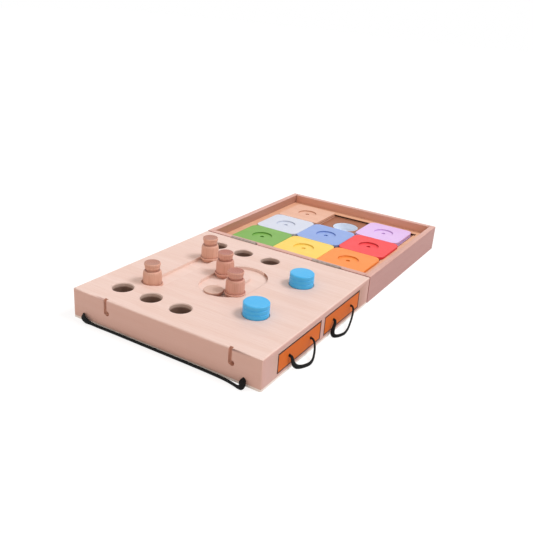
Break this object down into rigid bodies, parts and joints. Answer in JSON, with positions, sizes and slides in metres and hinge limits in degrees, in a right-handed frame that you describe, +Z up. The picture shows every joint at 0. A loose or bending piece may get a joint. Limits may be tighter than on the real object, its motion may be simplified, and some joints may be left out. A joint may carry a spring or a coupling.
{
  "type": "dog puzzle feeder toy",
  "caption": "Hinged wooden treat puzzle for dogs: a peg box with treat holes, grooved pegs, plugs and corded drawers, beside a tray of sliding colour tiles over treat cups.",
  "frame": {"origin": "middle of the hinge line between the two halves, on the floor under them", "axes": "+X to the right along the hinge line, towards the drawers; +Y from the peg box to the tile tray; +Z up"},
  "size_m": [0.2965, 0.5715, 0.0707],
  "materials": {
    "pale_wood": "smooth sanded",
    "rail_wood": "smooth sanded",
    "board_wood": "smooth board",
    "turned_beech": "turned and sanded",
    "hinge_steel": "dull plated",
    "elastic_cord": "woven cover",
    "sky_paint": "satin paint on turned wood",
    "orange_paint": "satin water paint on wood",
    "white_plastic": "smooth moulded",
    "green_tile_paint": "satin paint on wood",
    "yellow_tile_paint": "satin paint on wood",
    "orange_tile_paint": "satin paint on wood",
    "white_tile_paint": "satin paint on wood",
    "blue_tile_paint": "satin paint on wood",
    "red_tile_paint": "satin paint on wood",
    "lilac_tile_paint": "satin paint on wood"
  },
  "bodies": {
    "peg_box": {"front_stave": "pale_wood", "groove_board": "pale_wood", "rear_stave": "pale_wood", "drawer_housing": "pale_wood", "peg_box_panel": "pale_wood", "peg_box_screws": "hinge_steel", "front_strap": "elastic_cord", "strap_knots": "elastic_cord", "left_hinge_box_leaf": "hinge_steel", "right_hinge_box_leaf": "hinge_steel", "left_hinge_pin": "hinge_steel", "right_hinge_pin": "hinge_steel", "hinge_box_screws": "hinge_steel"},
    "tile_tray": {"tray_left_rail": "rail_wood", "tray_right_rail": "rail_wood", "tray_near_rail": "rail_wood", "tray_far_rail": "rail_wood", "tray_panel": "board_wood", "tray_screws": "hinge_steel", "tray_floor": "board_wood", "near_well_strip": "board_wood", "middle_well_strip": "board_wood", "far_well_strip": "board_wood", "tile_surround": "rail_wood", "treat_cups": "white_plastic", "left_hinge_tray_leaf": "hinge_steel", "right_hinge_tray_leaf": "hinge_steel", "hinge_tray_screws": "hinge_steel", "green_tile": "green_tile_paint", "yellow_tile": "yellow_tile_paint", "orange_tile": "orange_tile_paint", "white_tile": "white_tile_paint", "blue_tile": "blue_tile_paint", "red_tile": "red_tile_paint"},
    "parked_peg": {"parked_peg": "turned_beech"},
    "straight_peg": {"straight_peg": "turned_beech"},
    "oval_left_peg": {"oval_left_peg": "turned_beech"},
    "oval_right_peg": {"oval_right_peg": "turned_beech"},
    "oval_puck": {"oval_puck": "turned_beech"},
    "near_plug": {"near_plug": "sky_paint"},
    "far_plug": {"far_plug": "sky_paint"},
    "near_drawer": {"near_drawer_front": "orange_paint", "near_drawer_tray": "pale_wood", "near_drawer_cord": "elastic_cord", "near_drawer_knots": "elastic_cord"},
    "far_drawer": {"far_drawer_front": "orange_paint", "far_drawer_tray": "pale_wood", "far_drawer_cord": "elastic_cord", "far_drawer_knots": "elastic_cord"},
    "plain_tile": {"plain_tile": "rail_wood"},
    "lilac_tile": {"lilac_tile": "lilac_tile_paint"}
  },
  "joints": [
    {"name": "fold", "type": "hinge", "parent": "peg_box", "child": "tile_tray", "pos_m": [0, 0, 0.0404], "axis": [-1, 0, 0], "range_deg": [-165, 0]},
    {"name": "parked_peg_lift", "type": "slide", "parent": "peg_box", "child": "parked_peg", "axis": [0, 0, 1], "range_m": [0, 0.025]},
    {"name": "straight_peg_slide", "type": "slide", "parent": "peg_box", "child": "straight_peg", "axis": [0, 1, 0], "range_m": [-0.0885, 0]},
    {"name": "oval_left_peg_slide", "type": "slide", "parent": "peg_box", "child": "oval_left_peg", "axis": [0, 1, 0], "range_m": [-0.031, 0.004]},
    {"name": "oval_right_peg_swing", "type": "hinge", "parent": "peg_box", "child": "oval_right_peg", "pos_m": [0.0025, -0.1516, 0.04], "axis": [0, 0, 1], "range_deg": [0, 28]},
    {"name": "oval_puck_swing", "type": "hinge", "parent": "peg_box", "child": "oval_puck", "pos_m": [0.0025, -0.1516, 0.04], "axis": [0, 0, -1], "range_deg": [0, 80]},
    {"name": "near_plug_lift", "type": "slide", "parent": "peg_box", "child": "near_plug", "axis": [0, 0, 1], "range_m": [0, 0.025]},
    {"name": "far_plug_lift", "type": "slide", "parent": "peg_box", "child": "far_plug", "axis": [0, 0, 1], "range_m": [0, 0.025]},
    {"name": "near_drawer_slide", "type": "slide", "parent": "peg_box", "child": "near_drawer", "axis": [1, 0, 0], "range_m": [0, 0.08]},
    {"name": "far_drawer_slide", "type": "slide", "parent": "peg_box", "child": "far_drawer", "axis": [1, 0, 0], "range_m": [0, 0.08]},
    {"name": "plain_tile_slide", "type": "slide", "parent": "tile_tray", "child": "plain_tile", "axis": [1, 0, 0], "range_m": [0, 0.071]},
    {"name": "lilac_tile_slide", "type": "slide", "parent": "tile_tray", "child": "lilac_tile", "axis": [1, 0, 0], "range_m": [-0.071, 0.006]}
  ]
}
